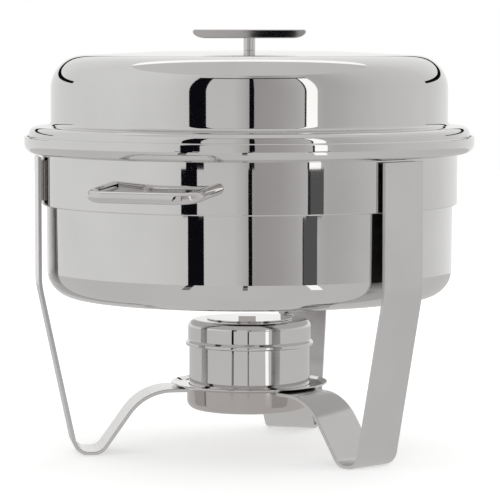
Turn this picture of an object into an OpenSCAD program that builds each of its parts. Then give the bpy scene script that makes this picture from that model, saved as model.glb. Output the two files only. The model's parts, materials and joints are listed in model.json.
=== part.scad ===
// Round chafer on a three-legged strap stand, with a fuel holder below.
// Millimetres, +Z up, the floor is z = 0 and the front of the chafer faces -Y.
// The origin is under the middle of the outline, handle included, so the pans' axis is axis_y behind it.

/* [Frame] */
// Outside radius of the band that carries the pan
band_r = 165.6; // [160:0.2:172]
// Wall thickness of the band
band_t = 2; // [1.5:0.1:2.2]
// Height of the band's lower edge above the floor
band_low = 197.8; // [190:0.2:205]
// Height of the band's upper edge, where the water pan's rim rests
band_top = 238.2; // [234:0.2:242]

/* [Legs] */
// Width of each strap leg
strap_w = 42; // [34:1:48]
// Thickness of the strap
strap_t = 2.8; // [2:0.1:3.4]
// Gap between the band and the strap, filled by the pad
pad_t = 1.6; // [1.2:0.1:4]
// Width of each pad
pad_w = 26; // [16:1:32]
// Direction of the left leg from the front, positive towards +X
leg_left_deg = -82; // [-86:0.5:-70]
// Direction of the right leg from the front
leg_right_deg = 43.5; // [38:0.5:50]
// Direction of the rear leg from the front
leg_rear_deg = 163.5; // [158:0.5:170]
// Height of the strap's top end
leg_top = 236.4; // [230:0.2:237]
// Height where the strap bends in towards the foot
leg_bend = 136; // [120:1:150]
// Distance of the foot's outer corner from the axis
foot_out = 140.4; // [136:0.2:146]
// Distance of the foot's inner corner from the axis
foot_in = 121; // [118:0.2:122]
// Distance from the axis where the rising strap levels out
level_r = 86; // [80:1:90]
// Distance of the strap's inner end from the axis
strap_end_r = 52; // [51:0.2:56]

/* [Front handle] */
// Direction of the handle from the front, positive towards +X
handle_deg = -23; // [-26:1:-14]
// Half the spacing of the handle's two arms
handle_half = 42.5; // [36:0.5:48]
// Radius of the handle rod
handle_rod_r = 4.4; // [3.5:0.1:5.5]
// Reach of the handle beyond the band
handle_reach = 48; // [38:1:56]
// Height where the handle meets the band
handle_z = 218; // [214:0.5:222]
// How far the handle slopes down
handle_drop_deg = 6; // [0:1:10]

/* [Pans] */
// Outside radius of the water pan's wall at its top
water_r = 162.2; // [160:0.2:162.8]
// Height of the underside of the water pan
water_low = 124.5; // [120:0.5:128]
// Outside radius of the water pan's rim
rim_r = 179; // [178:0.2:182]
// Height of the rim's lip
rim_top = 252; // [250:0.2:256]
// Outside radius of the food pan's wall
food_r = 158; // [154:0.2:159]
// Height of the underside of the food pan
food_low = 175.5; // [165:0.5:195]

/* [Lid] */
// Outside radius of the lid's drum
lid_r = 158; // [154:0.5:160]
// Height of the lid's crown
lid_top = 319.5; // [314:0.5:324]
// How far the crown falls from the middle to the shoulder
crown_drop = 4; // [2:0.5:8]
// Radius of the shoulder bend
shoulder_r = 26; // [20:1:30]
// Outside radius of the lid's skirt, inside the rim
skirt_r = 175.5; // [174.5:0.1:176]
// Height of the flange above the skirt
flange_z = 259.5; // [256:0.5:262]

/* [Lid handle] */
// Length of the grip bar
grip_l = 90; // [70:1:110]
// Height of the grip bar
grip_h = 7; // [5:0.5:9]
// Depth of the grip bar, front to back
grip_d = 13; // [10:0.5:18]
// Gap for the fingers between the crown and the grip
grip_gap = 9.5; // [9.5:0.5:20]
// Radius of the post
post_r = 4.7; // [4:0.1:6]

/* [Fuel holder] */
// Outside radius of the holder's pot
pot_r = 48.2; // [47:0.1:48.4]
// Height of the pot's rim
pot_top = 84; // [80:0.5:86]
// Height of the cover's upper face
cover_top = 105; // [100:0.5:108]
// Radius of the flame opening
flame_r = 30; // [24:0.5:32]
// Radius of the snuffer disc
disc_r = 34; // [33:0.5:36]
// Direction of the snuffer's pivot from the front
pivot_deg = 133; // [125:1:140]
// Distance of the snuffer's pivot from the axis
pivot_r = 42; // [41.5:0.5:43]

/* [Fuel ring] */
// Outside radius of the dished ring that the legs meet
ring_r = 63; // [60:0.5:66]
// Height of the underside of the ring
ring_z = 51.8; // [50:0.1:54]

/* [Hidden] */
$fn = 96;
fine = 720;
pan_t = 1.2;
food_t = 1;
lid_t = 1.2;
thin_t = 1;
touch = 0.05;
axis_y = 14;
arc_steps = 7;
strap_mid_r = band_r + pad_t + strap_t / 2;
floor_mid = band_top + touch + pan_t / 2;
floor_up = band_top + touch + pan_t;
ring_t = 1.2;
cup_r = 50;
cup_low = 33.4;
rivet_r = 2;
rivet_slack = 0.05;
disc_low = cover_top + 0.1;
disc_t = 1;
screw_r = 3;
crown_in = lid_top - lid_t - 0.15;
post_low = lid_top;
grip_low = lid_top + grip_gap;

// A bent strip of sheet: points are [x, y, bend radius] along its middle line.
function xy(p) = [p[0], p[1]];
function unit(v) = v / norm(v);
function left_of(v) = [-v[1], v[0]];
function turn(a, b, c) = cross(b - a, c - b) >= 0 ? 1 : -1;
function bend(a, b, c, r, off) =
  let (
    u = unit(b - a), v = unit(c - b), s = turn(a, b, c),
    half = acos(max(-1, min(1, u * v))) / 2,
    start = b - u * r * tan(half),
    mid = start + left_of(u) * s * r,
    a0 = atan2(start[1] - mid[1], start[0] - mid[0])
  )
  [for (i = [0:arc_steps]) mid + (r - s * off) *
    [cos(a0 + s * 2 * half * i / arc_steps), sin(a0 + s * 2 * half * i / arc_steps)]];
function side(path, off) =
  let (
    n = len(path),
    u = unit(xy(path[1]) - xy(path[0])),
    v = unit(xy(path[n - 1]) - xy(path[n - 2]))
  )
  concat(
    [xy(path[0]) + left_of(u) * off],
    [for (i = [1:n - 2], p = bend(xy(path[i - 1]), xy(path[i]), xy(path[i + 1]), path[i][2], off)) p],
    [xy(path[n - 1]) + left_of(v) * off]
  );
function backwards(list) = [for (i = [len(list) - 1:-1:0]) list[i]];

module strip(path, t) {
  polygon(concat(side(path, t / 2), backwards(side(path, -t / 2))));
}

// Moves a sub-part built around the Z axis to the pans' axis.
module at_axis() {
  translate([0, axis_y, 0]) children();
}

// Turns +X to the given direction, counted from the front.
module facing(deg) {
  rotate([0, 0, deg - 90]) children();
}

module ring_2d(r_out, r_in, low, high) {
  translate([r_in, low]) square([r_out - r_in, high - low]);
}

module frame_band() {
  at_axis() color("silver") rotate_extrude() ring_2d(band_r, band_r - band_t, band_low, band_top);
}

module leg(deg) {
  path = [
    [strap_mid_r, leg_top, 0],
    [strap_mid_r, leg_bend, 60],
    [foot_out, strap_t / 2, 12.5],
    [foot_in, strap_t / 2, 12.5],
    [level_r, ring_z - strap_t / 2, 42],
    [strap_end_r, ring_z - strap_t / 2, 0]
  ];
  at_axis() color("silver") facing(deg)
    translate([0, strap_w / 2, 0]) rotate([90, 0, 0]) linear_extrude(strap_w) strip(path, strap_t);
}

module leg_left() leg(leg_left_deg);
module leg_right() leg(leg_right_deg);
module leg_rear() leg(leg_rear_deg);

module leg_pad(deg) {
  low = band_low + 4;
  high = leg_top - 3;
  at_axis() color("silver") facing(deg) difference() {
    translate([band_r - 4, -pad_w / 2, low]) cube([pad_t + 4, pad_w, high - low]);
    translate([0, 0, low - 1]) cylinder(h = high - low + 2, r = band_r, $fn = fine);
  }
}

module leg_pad_left() leg_pad(leg_left_deg);
module leg_pad_right() leg_pad(leg_right_deg);
module leg_pad_rear() leg_pad(leg_rear_deg);

// The handle's own place: +X leads out from the band along the arms.
module at_handle() {
  root = sqrt(band_r * band_r - handle_half * handle_half);
  facing(handle_deg) translate([root, 0, handle_z]) rotate([0, handle_drop_deg, 0]) children();
}

module handle_arm(r, from, to) {
  for (k = [-1, 1])
    translate([from, k * handle_half, 0]) rotate([0, 90, 0]) cylinder(h = to - from, r = r);
}

module band_cutter() {
  translate([0, 0, band_low - 5]) cylinder(h = band_top - band_low + 10, r = band_r, $fn = fine);
}

module front_handle() {
  corner = 15;
  at_axis() color("silver") difference() {
    at_handle() {
      handle_arm(handle_rod_r, -12, handle_reach - corner);
      for (k = [-1, 1])
        translate([handle_reach - corner, k * (handle_half - corner), 0])
          rotate([0, 0, k > 0 ? 0 : -90]) rotate_extrude(angle = 90)
            translate([corner, 0]) circle(r = handle_rod_r);
      translate([handle_reach, handle_half - corner, 0]) rotate([90, 0, 0])
        cylinder(h = 2 * (handle_half - corner), r = handle_rod_r);
    }
    band_cutter();
  }
}

module burner_ring() {
  mid = ring_z + ring_t / 2;
  path = [[cup_r - 1.2, mid, 0], [58, mid, 3], [ring_r - 0.4, mid + 2.2, 0]];
  at_axis() color("silver") rotate_extrude() strip(path, ring_t);
}

module burner_cup() {
  path = [[0, cup_low + 0.6, 0], [cup_r - 0.6, cup_low + 0.6, 6], [cup_r - 0.6, ring_z, 0]];
  at_axis() color("silver") rotate_extrude() strip(path, ring_t);
}

module water_pan() {
  path = [
    [0, water_low + pan_t / 2, 0],
    [water_r - 1.6, water_low + pan_t / 2, 21],
    [water_r - pan_t / 2, floor_mid, 1.6],
    [rim_r - pan_t / 2, floor_mid, 7.4],
    [rim_r - pan_t / 2, rim_top - pan_t / 2, 0.9],
    [rim_r - 2.4, rim_top - pan_t / 2, 0]
  ];
  at_axis() color("silver") rotate_extrude() strip(path, pan_t);
}

module food_pan() {
  mid = floor_up + touch + food_t / 2;
  path = [
    [0, food_low + food_t / 2, 0],
    [food_r - 1.6, food_low + food_t / 2, 18],
    [food_r - food_t / 2, mid, 3],
    [171, mid, 0]
  ];
  at_axis() color("silver") rotate_extrude() strip(path, food_t);
}

module lid_shell() {
  top = lid_top - lid_t / 2;
  path = [
    [screw_r + 0.4, top, 0],
    [lid_r * 0.45, top - crown_drop * 0.2, 500],
    [lid_r - lid_t / 2, top - crown_drop - 1, shoulder_r],
    [lid_r - lid_t / 2, flange_z + lid_t / 2, 4.5],
    [skirt_r - lid_t / 2, flange_z - lid_t, 6],
    [skirt_r - lid_t / 2, floor_up + 1.9, 0]
  ];
  at_axis() color("silver") rotate_extrude() strip(path, lid_t);
}

module lid_post() {
  at_axis() color("silver") translate([0, 0, post_low]) difference() {
    cylinder(h = grip_gap, r = post_r);
    translate([0, 0, -1]) cylinder(h = 9, r = screw_r + touch);
  }
}

module lid_t_bar() {
  half = grip_l / 2;
  nose = 11;
  steps = 8;
  under = [for (i = [0:steps]) [half - nose + nose * sin(90 * i / steps),
    grip_low + (grip_h - 1.6) * (1 - cos(90 * i / steps))]];
  outline = concat([[0, grip_low]], under, [[half - 0.8, grip_low + grip_h], [0, grip_low + grip_h]]);
  at_axis() color("silver") for (k = [0, 1]) mirror([k, 0, 0])
    translate([0, grip_d / 2, 0]) rotate([90, 0, 0]) linear_extrude(grip_d) polygon(outline);
}

module lid_washer() {
  at_axis() color("silver") translate([0, 0, crown_in - 1.2]) difference() {
    cylinder(h = 1.2, r = 9);
    translate([0, 0, -1]) cylinder(h = 4, r = screw_r + 0.4);
  }
}

module lid_screw() {
  head = crown_in - 1.2;
  at_axis() color("silver") {
    translate([0, 0, head - 3]) cylinder(h = 3, r = 5.4);
    translate([0, 0, head - 1]) cylinder(h = 9.6, r = screw_r);
  }
}

module burner_pot() {
  low = cup_low + ring_t + touch + thin_t / 2;
  path = [[0, low, 0], [pot_r - thin_t / 2, low, 5], [pot_r - thin_t / 2, pot_top, 0]];
  at_axis() color("silver") rotate_extrude() strip(path, thin_t);
}

module burner_cover() {
  wall = pot_r + 0.4;
  seat = pot_top + touch + thin_t / 2;
  top = cover_top - thin_t / 2;
  path = [
    [pot_r - 3, seat, 0],
    [wall + 2, seat, 0.9],
    [wall + 2, seat + 2.2, 0.8],
    [wall, seat + 4.2, 1.2],
    [wall, top, 5],
    [flame_r, top, 0]
  ];
  at_axis() color("silver") difference() {
    rotate_extrude() strip(path, thin_t);
    facing(pivot_deg) translate([pivot_r, 0, cover_top - 5]) cylinder(h = 8, r = rivet_r + touch);
  }
}

module snuffer_disc() {
  ear = 5;
  at_axis() color("silver") difference() {
    union() {
      translate([0, 0, disc_low]) cylinder(h = disc_t, r = disc_r);
      facing(pivot_deg) {
        translate([20, -ear, disc_low]) cube([pivot_r - 20, 2 * ear, disc_t]);
        translate([pivot_r, 0, disc_low]) cylinder(h = disc_t, r = ear);
      }
    }
    facing(pivot_deg) translate([pivot_r, 0, disc_low - 1])
      cylinder(h = disc_t + 2, r = rivet_r + rivet_slack);
  }
}

module snuffer_pull() {
  at_axis() color("silver") facing(-3) translate([disc_r - 4, -6.8, disc_low + disc_t]) {
    cube([4, 13.6, 0.9]);
    translate([3.1, 0, 0]) cube([0.9, 13.6, 4.2]);
  }
}

module snuffer_washer() {
  at_axis() color("silver") facing(pivot_deg) translate([pivot_r, 0, disc_low + disc_t + 0.1]) difference() {
    cylinder(h = 0.5, r = 3.8);
    translate([0, 0, -1]) cylinder(h = 3, r = rivet_r + 0.02);
  }
}

module snuffer_rivet() {
  head = disc_low + disc_t + 0.6;
  at_axis() color("silver") facing(pivot_deg) translate([pivot_r, 0, 0]) {
    translate([0, 0, cover_top - 2.4]) cylinder(h = head - cover_top + 2.4, r = rivet_r);
    translate([0, 0, head]) cylinder(h = 1.4, r = 3.2);
    translate([0, 0, cover_top - 2.6]) cylinder(h = 1.4, r = 3.2);
  }
}

frame_band();
leg_left();
leg_right();
leg_rear();
leg_pad_left();
leg_pad_right();
leg_pad_rear();
front_handle();
burner_ring();
burner_cup();
water_pan();
food_pan();
lid_shell();
lid_post();
lid_t_bar();
lid_screw();
lid_washer();
burner_pot();
burner_cover();
snuffer_disc();
snuffer_pull();
snuffer_rivet();
snuffer_washer();
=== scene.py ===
import json
import math

import bmesh
import bpy
from mathutils import Matrix, Vector


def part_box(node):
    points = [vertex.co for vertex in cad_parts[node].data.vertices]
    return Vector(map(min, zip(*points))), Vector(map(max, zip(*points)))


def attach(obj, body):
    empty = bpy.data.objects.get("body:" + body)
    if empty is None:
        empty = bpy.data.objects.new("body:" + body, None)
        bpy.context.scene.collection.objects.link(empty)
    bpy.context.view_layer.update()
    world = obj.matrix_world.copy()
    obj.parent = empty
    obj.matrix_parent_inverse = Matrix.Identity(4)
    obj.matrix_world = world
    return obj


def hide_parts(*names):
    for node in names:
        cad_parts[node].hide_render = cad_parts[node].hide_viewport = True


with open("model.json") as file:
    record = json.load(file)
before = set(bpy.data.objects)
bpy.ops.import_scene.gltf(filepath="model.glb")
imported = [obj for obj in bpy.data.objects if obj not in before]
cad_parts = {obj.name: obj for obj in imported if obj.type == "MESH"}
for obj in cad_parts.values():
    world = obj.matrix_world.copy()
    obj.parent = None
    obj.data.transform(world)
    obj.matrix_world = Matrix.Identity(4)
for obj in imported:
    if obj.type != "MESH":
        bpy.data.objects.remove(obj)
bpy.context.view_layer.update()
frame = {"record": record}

MM = 0.001
RING_STEPS = 160   # steps round a lathed wall
BEND_STEPS = 10    # steps round a bend in a sheet
SHARP = math.radians(38)
pan_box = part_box("water_pan")
AXIS = Vector((0, (pan_box[0].y + pan_box[1].y) / 2, 0))   # where the pans' axis meets the floor


# ---------------------------------------------------------------- shader words

class Wire:
    """A socket in a material's node tree, with sums written as Python."""

    def __init__(self, tree, socket):
        self.tree = tree
        self.socket = socket

    def node(self, kind, settings=None, inputs=None, out=0):
        made = self.tree.nodes.new(kind)
        for key, value in (settings or {}).items():
            if key == "stops":
                ramp = made.color_ramp
                while len(ramp.elements) < len(value):
                    ramp.elements.new(0.5)
                for element, (place, colour) in zip(ramp.elements, value):
                    element.position = place
                    element.color = colour
            else:
                setattr(made, key, value)
        for key, value in (inputs or {}).items():
            if isinstance(value, Wire):
                self.tree.links.new(value.socket, made.inputs[key])
            else:
                made.inputs[key].default_value = value
        return Wire(self.tree, made.outputs[out]) if out is not None else made

    def _math(self, operation, a, b):
        return self.node("ShaderNodeMath", {"operation": operation}, {0: a, 1: b})

    def __add__(self, other):
        return self._math("ADD", self, other)

    __radd__ = __add__

    def __mul__(self, other):
        return self._math("MULTIPLY", self, other)

    __rmul__ = __mul__

    def __sub__(self, other):
        return self._math("SUBTRACT", self, other)

    def __rsub__(self, other):
        return self._math("SUBTRACT", other, self)

    def clipped(self, low, high, to_low=0.0, to_high=1.0):
        return self.node("ShaderNodeMapRange", {"clamp": True},
                         {"Value": self, "From Min": low, "From Max": high,
                          "To Min": to_low, "To Max": to_high})


def new_material(name):
    material = bpy.data.materials.new(name)
    material.use_nodes = True
    tree = material.node_tree
    shader = tree.nodes["Principled BSDF"]
    place = Wire(tree, tree.nodes.new("ShaderNodeTexCoord").outputs["Object"])
    return material, tree, shader, place


def noise(place, scale, detail=3.0, roughness=0.5, squeeze=(1, 1, 1)):
    where = place.node("ShaderNodeMapping", None, {"Vector": place, "Scale": squeeze})
    return place.node("ShaderNodeTexNoise", None,
                      {"Vector": where, "Scale": scale, "Detail": detail,
                       "Roughness": roughness})


def feed(tree, wire, shader, socket):
    tree.links.new(wire.socket, shader.inputs[socket])


def steel(name, tint, base_rough, smear, ripple, hairline=0.0, spin_lines=0.0, heat=0.0):
    """Stainless steel: tint, smears in the polish, sheet ripple, hairlines and heat tint."""
    material, tree, shader, place = new_material(name)
    place = place.node("ShaderNodeMapping", None, {"Vector": place, "Location": -AXIS})
    shader.inputs["Metallic"].default_value = 1.0
    cloud = noise(place, 14.0, 4.0, 0.55)
    wipe = noise(place, 60.0, 5.0, 0.6, (1.0, 1.0, 6.0))
    specks = noise(place, 900.0, 2.0, 0.5)
    polish = cloud.clipped(0.35, 0.7) * 0.5 + wipe.clipped(0.45, 0.8) * 0.5
    rough = polish * smear + base_rough
    height = noise(place, 9.0, 2.0, 0.4) * ripple
    if hairline:
        strokes = noise(place, 40.0, 6.0, 0.7, (1.0, 1.0, 55.0))
        rough = rough + strokes.clipped(0.35, 0.75) * hairline
        height = height + strokes * (hairline * 0.02)
    if spin_lines:
        x = place.node("ShaderNodeSeparateXYZ", None, {0: place})
        y, z = (Wire(tree, x.socket.node.outputs[i]) for i in (1, 2))
        radius = place.node("ShaderNodeMath", {"operation": "SQRT"}, {0: x * x + y * y})
        lines = place.node("ShaderNodeTexNoise", {"noise_dimensions": "1D"},
                           {"W": radius + z * 0.7, "Scale": 1500.0, "Detail": 4.0})
        rough = rough + lines.clipped(0.35, 0.7) * spin_lines
        height = height + lines * (spin_lines * 0.03)
    rough = rough + specks.clipped(0.68, 0.8) * 0.06
    feed(tree, rough, shader, "Roughness")
    dark = tuple(c * 0.93 for c in tint)
    colour = place.node("ShaderNodeMix", {"data_type": "RGBA"},
                        {"Factor": cloud.clipped(0.3, 0.75),
                         6: (*tint, 1), 7: (*dark, 1)}, 2)
    if heat:
        warm = noise(place, 22.0, 3.0).clipped(0.5, 0.75) * heat
        colour = place.node("ShaderNodeMix", {"data_type": "RGBA"},
                            {"Factor": warm, 6: colour, 7: (0.50, 0.40, 0.27, 1)}, 2)
    feed(tree, colour, shader, "Base Color")
    bump = place.node("ShaderNodeBump", None,
                      {"Strength": 1.0, "Distance": 0.001, "Height": height})
    feed(tree, bump, shader, "Normal")
    return material


mirror_steel = steel("mirror_polished_steel", (0.79, 0.785, 0.782), 0.018, 0.03, 0.16)
strap_steel = steel("strap_steel", (0.765, 0.758, 0.756), 0.14, 0.08, 0.14, hairline=0.06)
rod_steel = steel("polished_rod_steel", (0.74, 0.728, 0.724), 0.03, 0.04, 0.06)
spun_steel = steel("spun_steel", (0.74, 0.72, 0.712), 0.10, 0.06, 0.12, spin_lines=0.10)
holder_steel = steel("fuel_holder_steel", (0.79, 0.782, 0.778), 0.022, 0.04, 0.10, heat=0.05)
cup_steel = steel("fuel_cup_steel", (0.62, 0.592, 0.584), 0.07, 0.08, 0.14, hairline=0.04,
                  heat=0.08)
fixing_steel = steel("fixing_steel", (0.62, 0.61, 0.59), 0.18, 0.10, 0.05, hairline=0.08)
weld_steel = steel("weld_steel", (0.55, 0.53, 0.51), 0.16, 0.12, 0.30, heat=0.2)


# ---------------------------------------------------------------- shaping words

def finish_piece(bm, name, material, node, body, sharp=SHARP):
    """Makes the object, stands it in for its CAD node and lets it ride on its body."""
    bmesh.ops.translate(bm, verts=bm.verts, vec=AXIS)
    bmesh.ops.remove_doubles(bm, verts=bm.verts, dist=1e-6)
    bmesh.ops.recalc_face_normals(bm, faces=bm.faces)
    mesh = bpy.data.meshes.new(name)
    bm.to_mesh(mesh)
    bm.free()
    mesh.shade_smooth()
    mesh.set_sharp_from_angle(angle=sharp)
    mesh.materials.append(material)
    piece = bpy.data.objects.new(name, mesh)
    bpy.context.scene.collection.objects.link(piece)
    flats = piece.modifiers.new("flat_walls", "WEIGHTED_NORMAL")
    flats.weight = 100
    flats.keep_sharp = True
    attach(piece, body)
    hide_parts(*([node] if isinstance(node, str) else node))
    slots = {m["slot"] for m in frame["record"]["materials"]}
    entry = next(s for s in frame["record"]["subparts"]
                 if s["node"] == (node if isinstance(node, str) else node[0]))
    entry["material_slot"] in slots
    return piece


def bend_points(a, b, c, radius, offset):
    u = (b - a).normalized()
    v = (c - b).normalized()
    turn = 1 if u.x * v.y - u.y * v.x >= 0 else -1
    half = math.acos(max(-1, min(1, u.dot(v)))) / 2
    start = b - u * radius * math.tan(half)
    middle = start + Vector((-u.y, u.x)) * turn * radius
    first = math.atan2(start.y - middle.y, start.x - middle.x)
    steps = max(2, round(BEND_STEPS * half / math.radians(22)))
    return [middle + (radius - turn * offset) * Vector((math.cos(t), math.sin(t)))
            for t in (first + turn * 2 * half * i / steps for i in range(steps + 1))]


def strip_outline(path, thick, round_end=False):
    """The closed outline of a bent sheet. The path holds (x, y, bend radius) in mm."""
    points = [Vector(p[:2]) for p in path]
    first = (points[1] - points[0]).normalized()
    last = (points[-1] - points[-2]).normalized()

    def side(offset):
        line = [points[0] + Vector((-first.y, first.x)) * offset]
        for i in range(1, len(points) - 1):
            line += bend_points(points[i - 1], points[i], points[i + 1], path[i][2], offset)
        return line + [points[-1] + Vector((-last.y, last.x)) * offset]

    def nose():
        half_turn = [math.pi * i / 6 for i in range(1, 6)]
        across = Vector((-last.y, last.x))
        return [points[-1] - last * thick / 2
                + (across * math.cos(t) + last * math.sin(t)) * thick / 2 for t in half_turn]

    left, right = side(thick / 2), side(-thick / 2)
    if round_end:
        left[-1] -= last * thick / 2
        right[-1] -= last * thick / 2
        left += nose()
    return left + right[::-1]


def lathed(outline, steps=RING_STEPS):
    """Spins a closed outline (radius, height in mm) round the Z axis."""
    bm = bmesh.new()
    verts = [bm.verts.new((max(p[0], 0) * MM, 0, p[1] * MM)) for p in outline]
    edges = [bm.edges.new((a, b)) for a, b in zip(verts, verts[1:] + verts[:1])
             if a.co.x > 1e-7 or b.co.x > 1e-7]
    bmesh.ops.spin(bm, geom=verts + edges, cent=(0, 0, 0), axis=(0, 0, 1), dvec=(0, 0, 0),
                   angle=2 * math.pi, steps=steps, use_merge=True, use_duplicate=False)
    bmesh.ops.remove_doubles(bm, verts=bm.verts, dist=1e-6)
    return bm


def prism(outline, low, high):
    """Raises a flat outline in XZ (mm) along Y from low to high."""
    bm = bmesh.new()
    face = bm.faces.new([bm.verts.new((p[0] * MM, low * MM, p[1] * MM)) for p in outline])
    grown = bmesh.ops.extrude_face_region(bm, geom=[face])
    moved = [g for g in grown["geom"] if isinstance(g, bmesh.types.BMVert)]
    bmesh.ops.translate(bm, verts=moved, vec=(0, (high - low) * MM, 0))
    bmesh.ops.recalc_face_normals(bm, faces=bm.faces)
    return bm


def soften(bm, width, segments=3, angle=40):
    edges = [e for e in bm.edges
             if len(e.link_faces) == 2 and e.calc_face_angle(0) > math.radians(angle)]
    bmesh.ops.bevel(bm, geom=edges, offset=width * MM, offset_type="OFFSET", affect="EDGES",
                    segments=segments, profile=0.5, material=-1, clamp_overlap=True)


def turn_to(bm, degrees):
    """Turns +X to a direction counted from the front, positive towards +X."""
    bmesh.ops.rotate(bm, verts=bm.verts, cent=(0, 0, 0),
                     matrix=Matrix.Rotation(math.radians(degrees - 90), 3, "Z"))


def span(node):
    low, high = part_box(node)
    return low / MM, high / MM


# ---------------------------------------------------------------- measures from the frame

band_low, band_high = span("frame_band")
BAND_R = band_high.x
PAN_LOW, PAN_HIGH = span("water_pan")
RIM_R = PAN_HIGH.x
LID_LOW, LID_HIGH = span("lid_shell")
SKIRT_R = LID_HIGH.x
LID_R = SKIRT_R - 17.5   # the drum stands this far inside the skirt
LID_TOP = LID_HIGH.z
PAN_T, FOOD_T, LID_T, HOLDER_T = 1.2, 1.0, 1.2, 1.0   # sheet thicknesses
FLOOR_MID = band_high.z + 0.05 + PAN_T / 2   # middle of the rim's flat, just over the band
WATER_R, FOOD_R = 162.2, 158   # outer radii of the two pans' walls
BAND_IN = 163.6   # the band's inner radius
STRAP_T, STRAP_W, PAD_T, PAD_W = 2.8, 42, 1.6, 26
LEG_DEGREES = {"left": -82, "right": 43.5, "rear": 163.5}
LEG_TOP = span("leg_left")[1].z
RING_LOW = span("burner_ring")[0]
CUP_LOW, CUP_HIGH = span("burner_cup")
POT_LOW, POT_HIGH = span("burner_pot")
COVER_LOW, COVER_HIGH = span("burner_cover")
DISC_LOW, DISC_HIGH = span("snuffer_disc")
FOOD_LOW, FOOD_HIGH = span("food_pan")
PIVOT_DEG, PIVOT_R = 133, 42   # where the snuffer's rivet stands


# ---------------------------------------------------------------- frame and legs

def build_band():
    low, high = band_low.z, band_high.z
    outline = [(BAND_IN, low), (BAND_R - 0.9, low), (BAND_R - 0.35, low + 0.25),
               (BAND_R, low + 0.9), (BAND_R, high - 0.6), (BAND_R - 0.5, high), (BAND_IN, high)]
    finish_piece(lathed(outline), "frame_band_rolled", mirror_steel, "frame_band", "stand")


def build_leg(node, degrees):
    mid = BAND_R + PAD_T + STRAP_T / 2
    knee, toe, heel = 136, 140.4, 121   # height of the knee, reach of the foot's two bends
    level, end = 86, 52                 # where the strap levels out under the ring and ends
    foot, ring_under = STRAP_T / 2, CUP_HIGH.z - STRAP_T / 2
    path = [(mid, LEG_TOP, 0), (mid, knee, 60), (toe, foot, 12.5), (heel, foot, 12.5),
            (level, ring_under, 42), (end, ring_under, 0)]
    bm = prism(strip_outline(path, STRAP_T), -STRAP_W / 2, STRAP_W / 2)
    soften(bm, 0.55, 3, 60)
    turn_to(bm, degrees)
    finish_piece(bm, node + "_strap", strap_steel, node, "stand")


def build_pad(node, degrees):
    low, high = span(node)
    bm = bmesh.new()
    bmesh.ops.create_cube(bm, size=1)
    sunk = 0.5   # how far the pad reaches into the band
    deep, height = PAD_T + sunk, high.z - low.z
    bmesh.ops.scale(bm, verts=bm.verts, vec=(deep * MM, PAD_W * MM, height * MM))
    bmesh.ops.translate(bm, verts=bm.verts, vec=((BAND_R - sunk + deep / 2) * MM, 0,
                                                 (low.z + height / 2) * MM))
    soften(bm, 0.5, 2)
    turn_to(bm, degrees)
    finish_piece(bm, node + "_plate", weld_steel, node, "stand")


build_band()
for side, degrees in LEG_DEGREES.items():
    build_leg("leg_" + side, degrees)
    build_pad("leg_pad_" + side, degrees)


# ---------------------------------------------------------------- front handle

HANDLE_DEG, HANDLE_HALF, HANDLE_REACH, HANDLE_Z, ROD_R, DROP = -23, 42.5, 48, 218, 4.4, 6


def to_handle(bm):
    root = math.sqrt(BAND_R ** 2 - HANDLE_HALF ** 2)
    bmesh.ops.rotate(bm, verts=bm.verts, cent=(0, 0, 0),
                     matrix=Matrix.Rotation(math.radians(DROP), 3, "Y"))
    bmesh.ops.translate(bm, verts=bm.verts, vec=(root * MM, 0, HANDLE_Z * MM))
    turn_to(bm, HANDLE_DEG)


def build_handle():
    """A rod drawn out from the band, round two bends and back, in its own place along +X."""
    corner, root_end = 15, 5   # bend radius, and how far the arms run on into the band
    bm = bmesh.new()
    bmesh.ops.create_circle(bm, cap_ends=True, radius=ROD_R * MM, segments=32)
    bmesh.ops.rotate(bm, verts=bm.verts, cent=(0, 0, 0),
                     matrix=Matrix.Rotation(math.radians(90), 3, "Y"))
    bmesh.ops.translate(bm, verts=bm.verts, vec=(-root_end * MM, -HANDLE_HALF * MM, 0))
    tip = list(bm.faces)

    def draw(vec, keep_end=False):
        grown = bmesh.ops.extrude_face_region(bm, geom=tip)
        verts = [g for g in grown["geom"] if isinstance(g, bmesh.types.BMVert)]
        bmesh.ops.translate(bm, verts=verts, vec=[v * MM for v in vec])
        faces = [g for g in grown["geom"] if isinstance(g, bmesh.types.BMFace)]
        if not keep_end:
            bmesh.ops.delete(bm, geom=tip, context="FACES")
        return faces

    def swing(cent):
        made = bmesh.ops.spin(bm, geom=tip, cent=[c * MM for c in cent], axis=(0, 0, 1),
                              dvec=(0, 0, 0), angle=math.radians(90), steps=14)
        faces = [g for g in made["geom_last"] if isinstance(g, bmesh.types.BMFace)]
        bmesh.ops.delete(bm, geom=tip, context="FACES_ONLY")
        return faces

    arm = HANDLE_REACH - corner
    tip = draw((arm + root_end, 0, 0), keep_end=True)
    tip = swing((arm, -HANDLE_HALF + corner, 0))
    tip = draw((0, 2 * (HANDLE_HALF - corner), 0))
    tip = swing((arm, HANDLE_HALF - corner, 0))
    draw((-(arm + root_end), 0, 0))
    to_handle(bm)
    finish_piece(bm, "front_handle_rod", rod_steel, "front_handle", "stand")


build_handle()


# ---------------------------------------------------------------- pans

def build_water_pan():
    half = PAN_T / 2
    path = [(0, PAN_LOW.z + half, 0), (WATER_R - 1.6, PAN_LOW.z + half, 21),
            (WATER_R - half, FLOOR_MID, 1.6), (RIM_R - half, FLOOR_MID, 7.4),
            (RIM_R - half, PAN_HIGH.z - half, 0.9), (RIM_R - 2.4, PAN_HIGH.z - half, 0)]
    finish_piece(lathed(strip_outline(path, PAN_T, round_end=True)), "water_pan_drawn",
                 mirror_steel, "water_pan", "water_pan")


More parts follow.
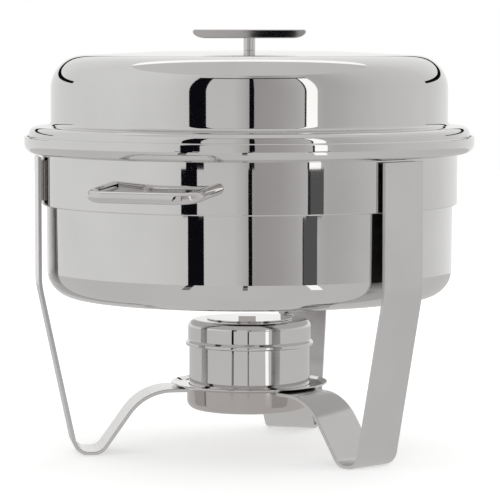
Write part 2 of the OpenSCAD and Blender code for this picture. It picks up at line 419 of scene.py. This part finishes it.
def build_food_pan():
    half = FOOD_T / 2
    mid = FOOD_HIGH.z - half
    path = [(0, FOOD_LOW.z + half, 0), (FOOD_R - 1.6, FOOD_LOW.z + half, 18),
            (FOOD_R - half, mid, 3), (171, mid, 0)]
    finish_piece(lathed(strip_outline(path, FOOD_T, round_end=True)), "food_pan_drawn",
                 spun_steel, "food_pan", "food_pan")


build_water_pan()
build_food_pan()


# ---------------------------------------------------------------- lid

def build_lid():
    half = LID_T / 2
    top = LID_TOP - half
    flange = 259.5   # height of the step between drum and skirt
    path = [(3.4, top, 0), (LID_R * 0.45, top - 0.8, 500), (LID_R - half, top - 5, 26),
            (LID_R - half, flange + half, 4.5), (SKIRT_R - half, flange - LID_T, 6),
            (SKIRT_R - half, LID_LOW.z, 0)]
    finish_piece(lathed(strip_outline(path, LID_T, round_end=True), 192), "lid_dome",
                 mirror_steel, "lid_shell", "lid")


def build_post():
    low, high = span("lid_post")
    outline = [(0, low.z + 8), (3.05, low.z + 8), (3.05, low.z), (4.5, low.z), (4.7, low.z + 0.2),
               (4.7, high.z), (0, high.z)]
    finish_piece(lathed(outline, 64), "lid_post_turned", rod_steel, "lid_post", "lid")


def build_grip():
    low, high = span("lid_t_bar")
    half, nose, rise = high.x, 11, high.z - low.z - 1.6
    under = [(half - nose + nose * math.sin(t), low.z + rise * (1 - math.cos(t)))
             for t in (math.pi / 2 * i / 14 for i in range(15))]
    right = under + [(half - 0.8, high.z)]
    outline = right + [(-x, z) for x, z in reversed(right)]
    bm = prism(outline, (low.y - high.y) / 2, (high.y - low.y) / 2)
    soften(bm, 1.1, 4, 50)
    finish_piece(bm, "lid_grip_bar", rod_steel, "lid_t_bar", "lid", math.radians(50))


def build_lid_fixings():
    low, high = span("lid_screw")
    outline = [(0, low.z), (3.6, low.z), (5.0, low.z + 0.8), (5.4, low.z + 1.6), (5.4, low.z + 3),
               (3, low.z + 3), (3, high.z - 0.5), (2.5, high.z), (0, high.z)]
    finish_piece(lathed(outline, 48), "lid_screw_dome", fixing_steel, "lid_screw", "lid")
    low, high = span("lid_washer")
    outline = [(3.4, low.z), (8.7, low.z), (9, low.z + 0.3), (9, high.z), (3.4, high.z)]
    finish_piece(lathed(outline, 64), "lid_washer_plate", fixing_steel, "lid_washer", "lid")


build_lid()
build_post()
build_grip()
build_lid_fixings()


# ---------------------------------------------------------------- fuel holder

def build_ring_and_cup():
    mid = RING_LOW.z + 0.6
    path = [(48.8, mid, 0), (58, mid, 3), (62.6, mid + 2.2, 0)]
    finish_piece(lathed(strip_outline(path, 1.2, round_end=True), 128), "burner_ring_dished",
                 holder_steel, "burner_ring", "stand")
    path = [(0, CUP_LOW.z + 0.6, 0), (49.4, CUP_LOW.z + 0.6, 6), (49.4, CUP_HIGH.z, 0)]
    finish_piece(lathed(strip_outline(path, 1.2), 128), "burner_cup_drawn", cup_steel,
                 "burner_cup", "stand")


def build_pot():
    half = HOLDER_T / 2
    wall = 48.2 - half
    path = [(0, POT_LOW.z + half, 0), (wall, POT_LOW.z + half, 5), (wall, POT_HIGH.z, 0)]
    finish_piece(lathed(strip_outline(path, HOLDER_T), 128), "burner_pot_drawn", holder_steel,
                 "burner_pot", "fuel_holder")


def build_cover():
    half = HOLDER_T / 2
    wall, seat, top = 48.6, COVER_LOW.z + half, COVER_HIGH.z - half
    path = [(45.2, seat, 0), (wall + 2, seat, 0.9), (wall + 2, seat + 2.2, 0.8),
            (wall, seat + 4.2, 1.2), (wall, top, 5), (30, top, 0)]
    finish_piece(lathed(strip_outline(path, HOLDER_T, round_end=True), 128), "burner_cover_beaded",
                 holder_steel, "burner_cover", "fuel_holder")


def build_disc():
    """The snuffer: a shallow pressed disc with an ear over the pivot."""
    low, high = DISC_LOW.z, DISC_HIGH.z
    disc = bmesh.new()
    bmesh.ops.create_circle(disc, cap_ends=True, radius=34 * MM, segments=96)
    bmesh.ops.translate(disc, verts=disc.verts, vec=(0, 0, low * MM))
    ear_half = 5
    bmesh.ops.delete(disc, geom=[v for v in disc.verts
                                 if v.co.x > 0 and abs(v.co.y) < ear_half * MM], context="VERTS")
    rim = sorted(disc.verts, key=lambda v: math.atan2(v.co.y, v.co.x) % (2 * math.pi))
    ear = [disc.verts.new(((PIVOT_R + ear_half * math.cos(t)) * MM, ear_half * math.sin(t) * MM,
                           low * MM))
           for t in (math.radians(-90 + 180 * i / 12) for i in range(13))]
    face = disc.faces.new(rim + ear)
    grown = bmesh.ops.extrude_face_region(disc, geom=[face])
    moved = [g for g in grown["geom"] if isinstance(g, bmesh.types.BMVert)]
    bmesh.ops.translate(disc, verts=moved, vec=(0, 0, (high - low) * MM))
    bmesh.ops.recalc_face_normals(disc, faces=disc.faces)
    soften(disc, 0.25, 2, 60)
    turn_to(disc, PIVOT_DEG)
    finish_piece(disc, "snuffer_disc_pressed", holder_steel, "snuffer_disc", "snuffer")


def build_pull():
    low, high = span("snuffer_pull")
    outline = [(30, low.z), (34, low.z), (34, high.z), (33.1, high.z), (33.1, low.z + 0.9),
               (30, low.z + 0.9)]
    bm = prism(outline, -6.8, 6.8)
    soften(bm, 0.2, 2)
    turn_to(bm, -3)
    finish_piece(bm, "snuffer_pull_tab", cup_steel, "snuffer_pull", "snuffer")


def build_snuffer_fixings():
    low, high = span("snuffer_rivet")
    outline = [(0, low.z), (3.2, low.z), (3.2, low.z + 1.4), (2, low.z + 1.4), (2, high.z - 1.4),
               (3.2, high.z - 1.4), (2.9, high.z - 0.7), (2.1, high.z - 0.2), (0, high.z)]
    bm = lathed(outline, 40)
    bmesh.ops.translate(bm, verts=bm.verts, vec=(PIVOT_R * MM, 0, 0))
    turn_to(bm, PIVOT_DEG)
    finish_piece(bm, "snuffer_rivet_head", fixing_steel, "snuffer_rivet", "fuel_holder")
    low, high = span("snuffer_washer")
    outline = [(2.02, low.z), (3.8, low.z), (3.7, high.z), (2.02, high.z)]
    bm = lathed(outline, 40)
    bmesh.ops.translate(bm, verts=bm.verts, vec=(PIVOT_R * MM, 0, 0))
    turn_to(bm, PIVOT_DEG)
    finish_piece(bm, "snuffer_washer_ring", fixing_steel, "snuffer_washer", "fuel_holder")


build_ring_and_cup()
build_pot()
build_cover()
build_disc()
build_pull()
build_snuffer_fixings()


# ---------------------------------------------------------------- studio

def glow(name, colour, strength):
    material = bpy.data.materials.new(name)
    material.use_nodes = True
    tree = material.node_tree
    tree.nodes.clear()
    light = tree.nodes.new("ShaderNodeEmission")
    light.inputs["Color"].default_value = (*colour, 1)
    light.inputs["Strength"].default_value = strength
    out = tree.nodes.new("ShaderNodeOutputMaterial")
    tree.links.new(light.outputs[0], out.inputs["Surface"])
    return material


def stage_mesh(bm, name, material):
    mesh = bpy.data.meshes.new(name)
    bm.to_mesh(mesh)
    bm.free()
    mesh.materials.append(material)
    thing = bpy.data.objects.new(name, mesh)
    thing.location = AXIS
    bpy.context.scene.collection.objects.link(thing)
    return thing


def cloth(brightness):
    """Studio cloth: neutral when bright, a little warmer when dim."""
    warm = 1 - 0.1 * max(0, 0.75 - brightness)
    return brightness, brightness * warm, brightness * (warm - 0.012)


def directions_glow(name, stops):
    """A lit flat whose brightness follows the direction from the front."""
    material = bpy.data.materials.new(name)
    material.use_nodes = True
    tree = material.node_tree
    tree.nodes.clear()
    place = Wire(tree, tree.nodes.new("ShaderNodeTexCoord").outputs["Object"])
    turned = place.node("ShaderNodeMapping", None,
                        {"Vector": place, "Rotation": (0, 0, math.radians(90))})
    around = place.node("ShaderNodeTexGradient", {"gradient_type": "RADIAL"},
                        {"Vector": turned}, 1)
    shade = place.node("ShaderNodeValToRGB",
                       {"stops": [(0.5 + deg / 360, (*cloth(v), 1)) for deg, v in stops]},
                       {"Fac": around})
    light = place.node("ShaderNodeEmission", None, {"Color": shade, "Strength": 1.0})
    place.node("ShaderNodeOutputMaterial", None, {"Surface": light}, out=None)
    return material


def curved_flat(name, start, end, near, far, material):
    """A studio flat swept between two directions; near and far are (radius, height)."""
    bm = bmesh.new()
    verts = [bm.verts.new((0, -radius, height)) for radius, height in (near, far)]
    edge = bm.edges.new(verts)
    bmesh.ops.rotate(bm, verts=verts, cent=(0, 0, 0),
                     matrix=Matrix.Rotation(math.radians(start), 3, "Z"))
    bmesh.ops.spin(bm, geom=verts + [edge], cent=(0, 0, 0), axis=(0, 0, 1), dvec=(0, 0, 0),
                   angle=math.radians(end - start), steps=max(2, int((end - start) / 3)))
    thing = stage_mesh(bm, name, material)
    thing.visible_camera = False
    thing.visible_shadow = False
    thing.visible_diffuse = False
    return thing


def wall_strip(name, start, end, low, high, radius, material):
    return curved_flat(name, start, end, (radius, low), (radius, high), material)


def floor_material():
    material, tree, shader, place = new_material("studio_floor")
    grain = noise(place, 30.0, 3.0)
    feed(tree, grain.clipped(0.2, 0.8, 0.55, 0.7), shader, "Roughness")
    shader.inputs["Base Color"].default_value = (0.9, 0.9, 0.9, 1)
    shader.inputs["Specular IOR Level"].default_value = 0.1
    shader.inputs["Emission Color"].default_value = (1, 1, 1, 1)
    shader.inputs["Emission Strength"].default_value = 0.35
    return material


sweep = bmesh.new()
bmesh.ops.create_circle(sweep, cap_ends=True, radius=4.5, segments=96)
stage_mesh(sweep, "studio_floor", floor_material())

TENT = 1.35
# The flats that the polished steel mirrors: (direction from the front, brightness)
AROUND = (
    (-180, 0.95), (-150, 0.80), (-125, 0.75), (-75, 0.76), (-52, 0.73), (-40, 0.69),
    (-25, 0.62), (-8, 0.61), (-3, 0.53), (3, 0.36), (15, 0.40), (24, 0.47), (31, 0.56),
    (41, 0.48), (50, 0.50), (62, 0.56), (75, 0.61), (95, 0.65), (120, 0.70), (140, 0.80),
    (180, 0.95),
)
wall_strip("studio_tent", -180, 180, 0.002, 2.0, TENT, directions_glow("tent_cloth", AROUND))
BLACK = glow("black_flat", (0.004, 0.004, 0.006), 1.0)
GREY = glow("grey_stand", (0.10, 0.10, 0.10), 1.0)
DARK = glow("dark_edge", (0.03, 0.03, 0.03), 1.0)
WHITE = glow("white_flat", (1.25, 1.24, 1.22), 1.0)
NEAR = TENT - 0.04
# The dark doorway: its left post, its middle post and its right edge at three heights
for level, low, high, left, middle, right, edge in (
        ("low", 0.002, 0.10, (-32.0, -23.5), (-0.5, 1.5), (27.7, 28.3), 35.6),
        ("mid", 0.10, 0.175, (-34.7, -26.3), (-0.5, 1.5), (29.6, 31.0), 38.0),
        ("top", 0.175, 1.40, (-32.1, -22.8), (0.0, 2.6), (29.4, 30.4), 36.5)):
    wall_strip("studio_post_left_" + level, *left, low, high, NEAR, BLACK)
    wall_strip("studio_post_middle_" + level, *middle, low, high, NEAR, BLACK)
    wall_strip("studio_edge_" + level, *right, low, high, NEAR, DARK)
    wall_strip("studio_stand_" + level, right[1], edge, low, high, NEAR,
               WHITE if level == "top" else GREY)
# Painted reflections of the posts in the table, paler near the holder and black further out, which
# the fuel holder mirrors
POST_REFLECTION_DIM = glow("painted_post_reflection_dim", (0.20, 0.19, 0.187), 1.0)
for name, start, end in (("left", -32.5, -28.5), ("middle", -3.2, -0.8)):
    curved_flat("studio_table_near_" + name, start, end, (0.45, 0.0008), (0.76, 0.0008), POST_REFLECTION_DIM)
    curved_flat("studio_table_far_" + name, start, end, (0.76, 0.0008), (1.31, 0.0008), BLACK)
# Painted reflection of the white stand in the table
curved_flat("studio_table_painted_reflection_right", 29.5, 35.5, (0.45, 0.0008), (1.31, 0.0008), WHITE)
wall_strip("studio_lintel", -32.1, 36.5, 1.40, 1.50, NEAR, BLACK)
wall_strip("studio_back_rail", 118, 242, 0.50, 0.58, NEAR, BLACK)


def overhead(name, material, back, front):
    """A ceiling flat between two distances behind the axis."""
    bm = bmesh.new()
    bmesh.ops.create_grid(bm, x_segments=1, y_segments=1, size=1)
    bmesh.ops.scale(bm, verts=bm.verts, vec=(1.5, (back - front) / 2, 1))
    bmesh.ops.translate(bm, verts=bm.verts, vec=(0, (back + front) / 2, 2.0))
    thing = stage_mesh(bm, name, material)
    thing.visible_camera = False
    return thing


overhead("studio_ceiling_front", glow("ceiling_cloth", cloth(0.63), 1.0), 0.75, -1.5)
overhead("studio_ceiling_back", WHITE, 1.5, 0.75)

mirrored = bmesh.new()
bmesh.ops.create_circle(mirrored, cap_ends=True, radius=TENT, segments=96)
bmesh.ops.translate(mirrored, verts=mirrored.verts, vec=(0, 0, 0.0004))
table = stage_mesh(mirrored, "studio_table", glow("table_cloth", cloth(0.60), 1.0))
table.visible_camera = False
table.visible_diffuse = False
table.visible_shadow = False

world = bpy.data.worlds.new("studio_world")
bpy.context.scene.world = world
world.use_nodes = True
world.node_tree.nodes["Background"].inputs["Color"].default_value = (1, 1, 1, 1)
world.node_tree.nodes["Background"].inputs["Strength"].default_value = 1.0

bpy.context.scene.view_settings.view_transform = "Standard"
bpy.context.scene.view_settings.look = "None"

camera_data = bpy.data.cameras.new("view")
camera = bpy.data.objects.new("view", camera_data)
bpy.context.scene.collection.objects.link(camera)
camera_data.sensor_width = 36
camera_data.lens = 2804.4 / 500 * 36
camera_data.clip_end = 50
camera.location = (0.0005, AXIS.y - 2.2368, 0.3343)
camera.rotation_euler = (math.radians(90 - 4.454), 0, 0)
bpy.context.scene.camera = camera
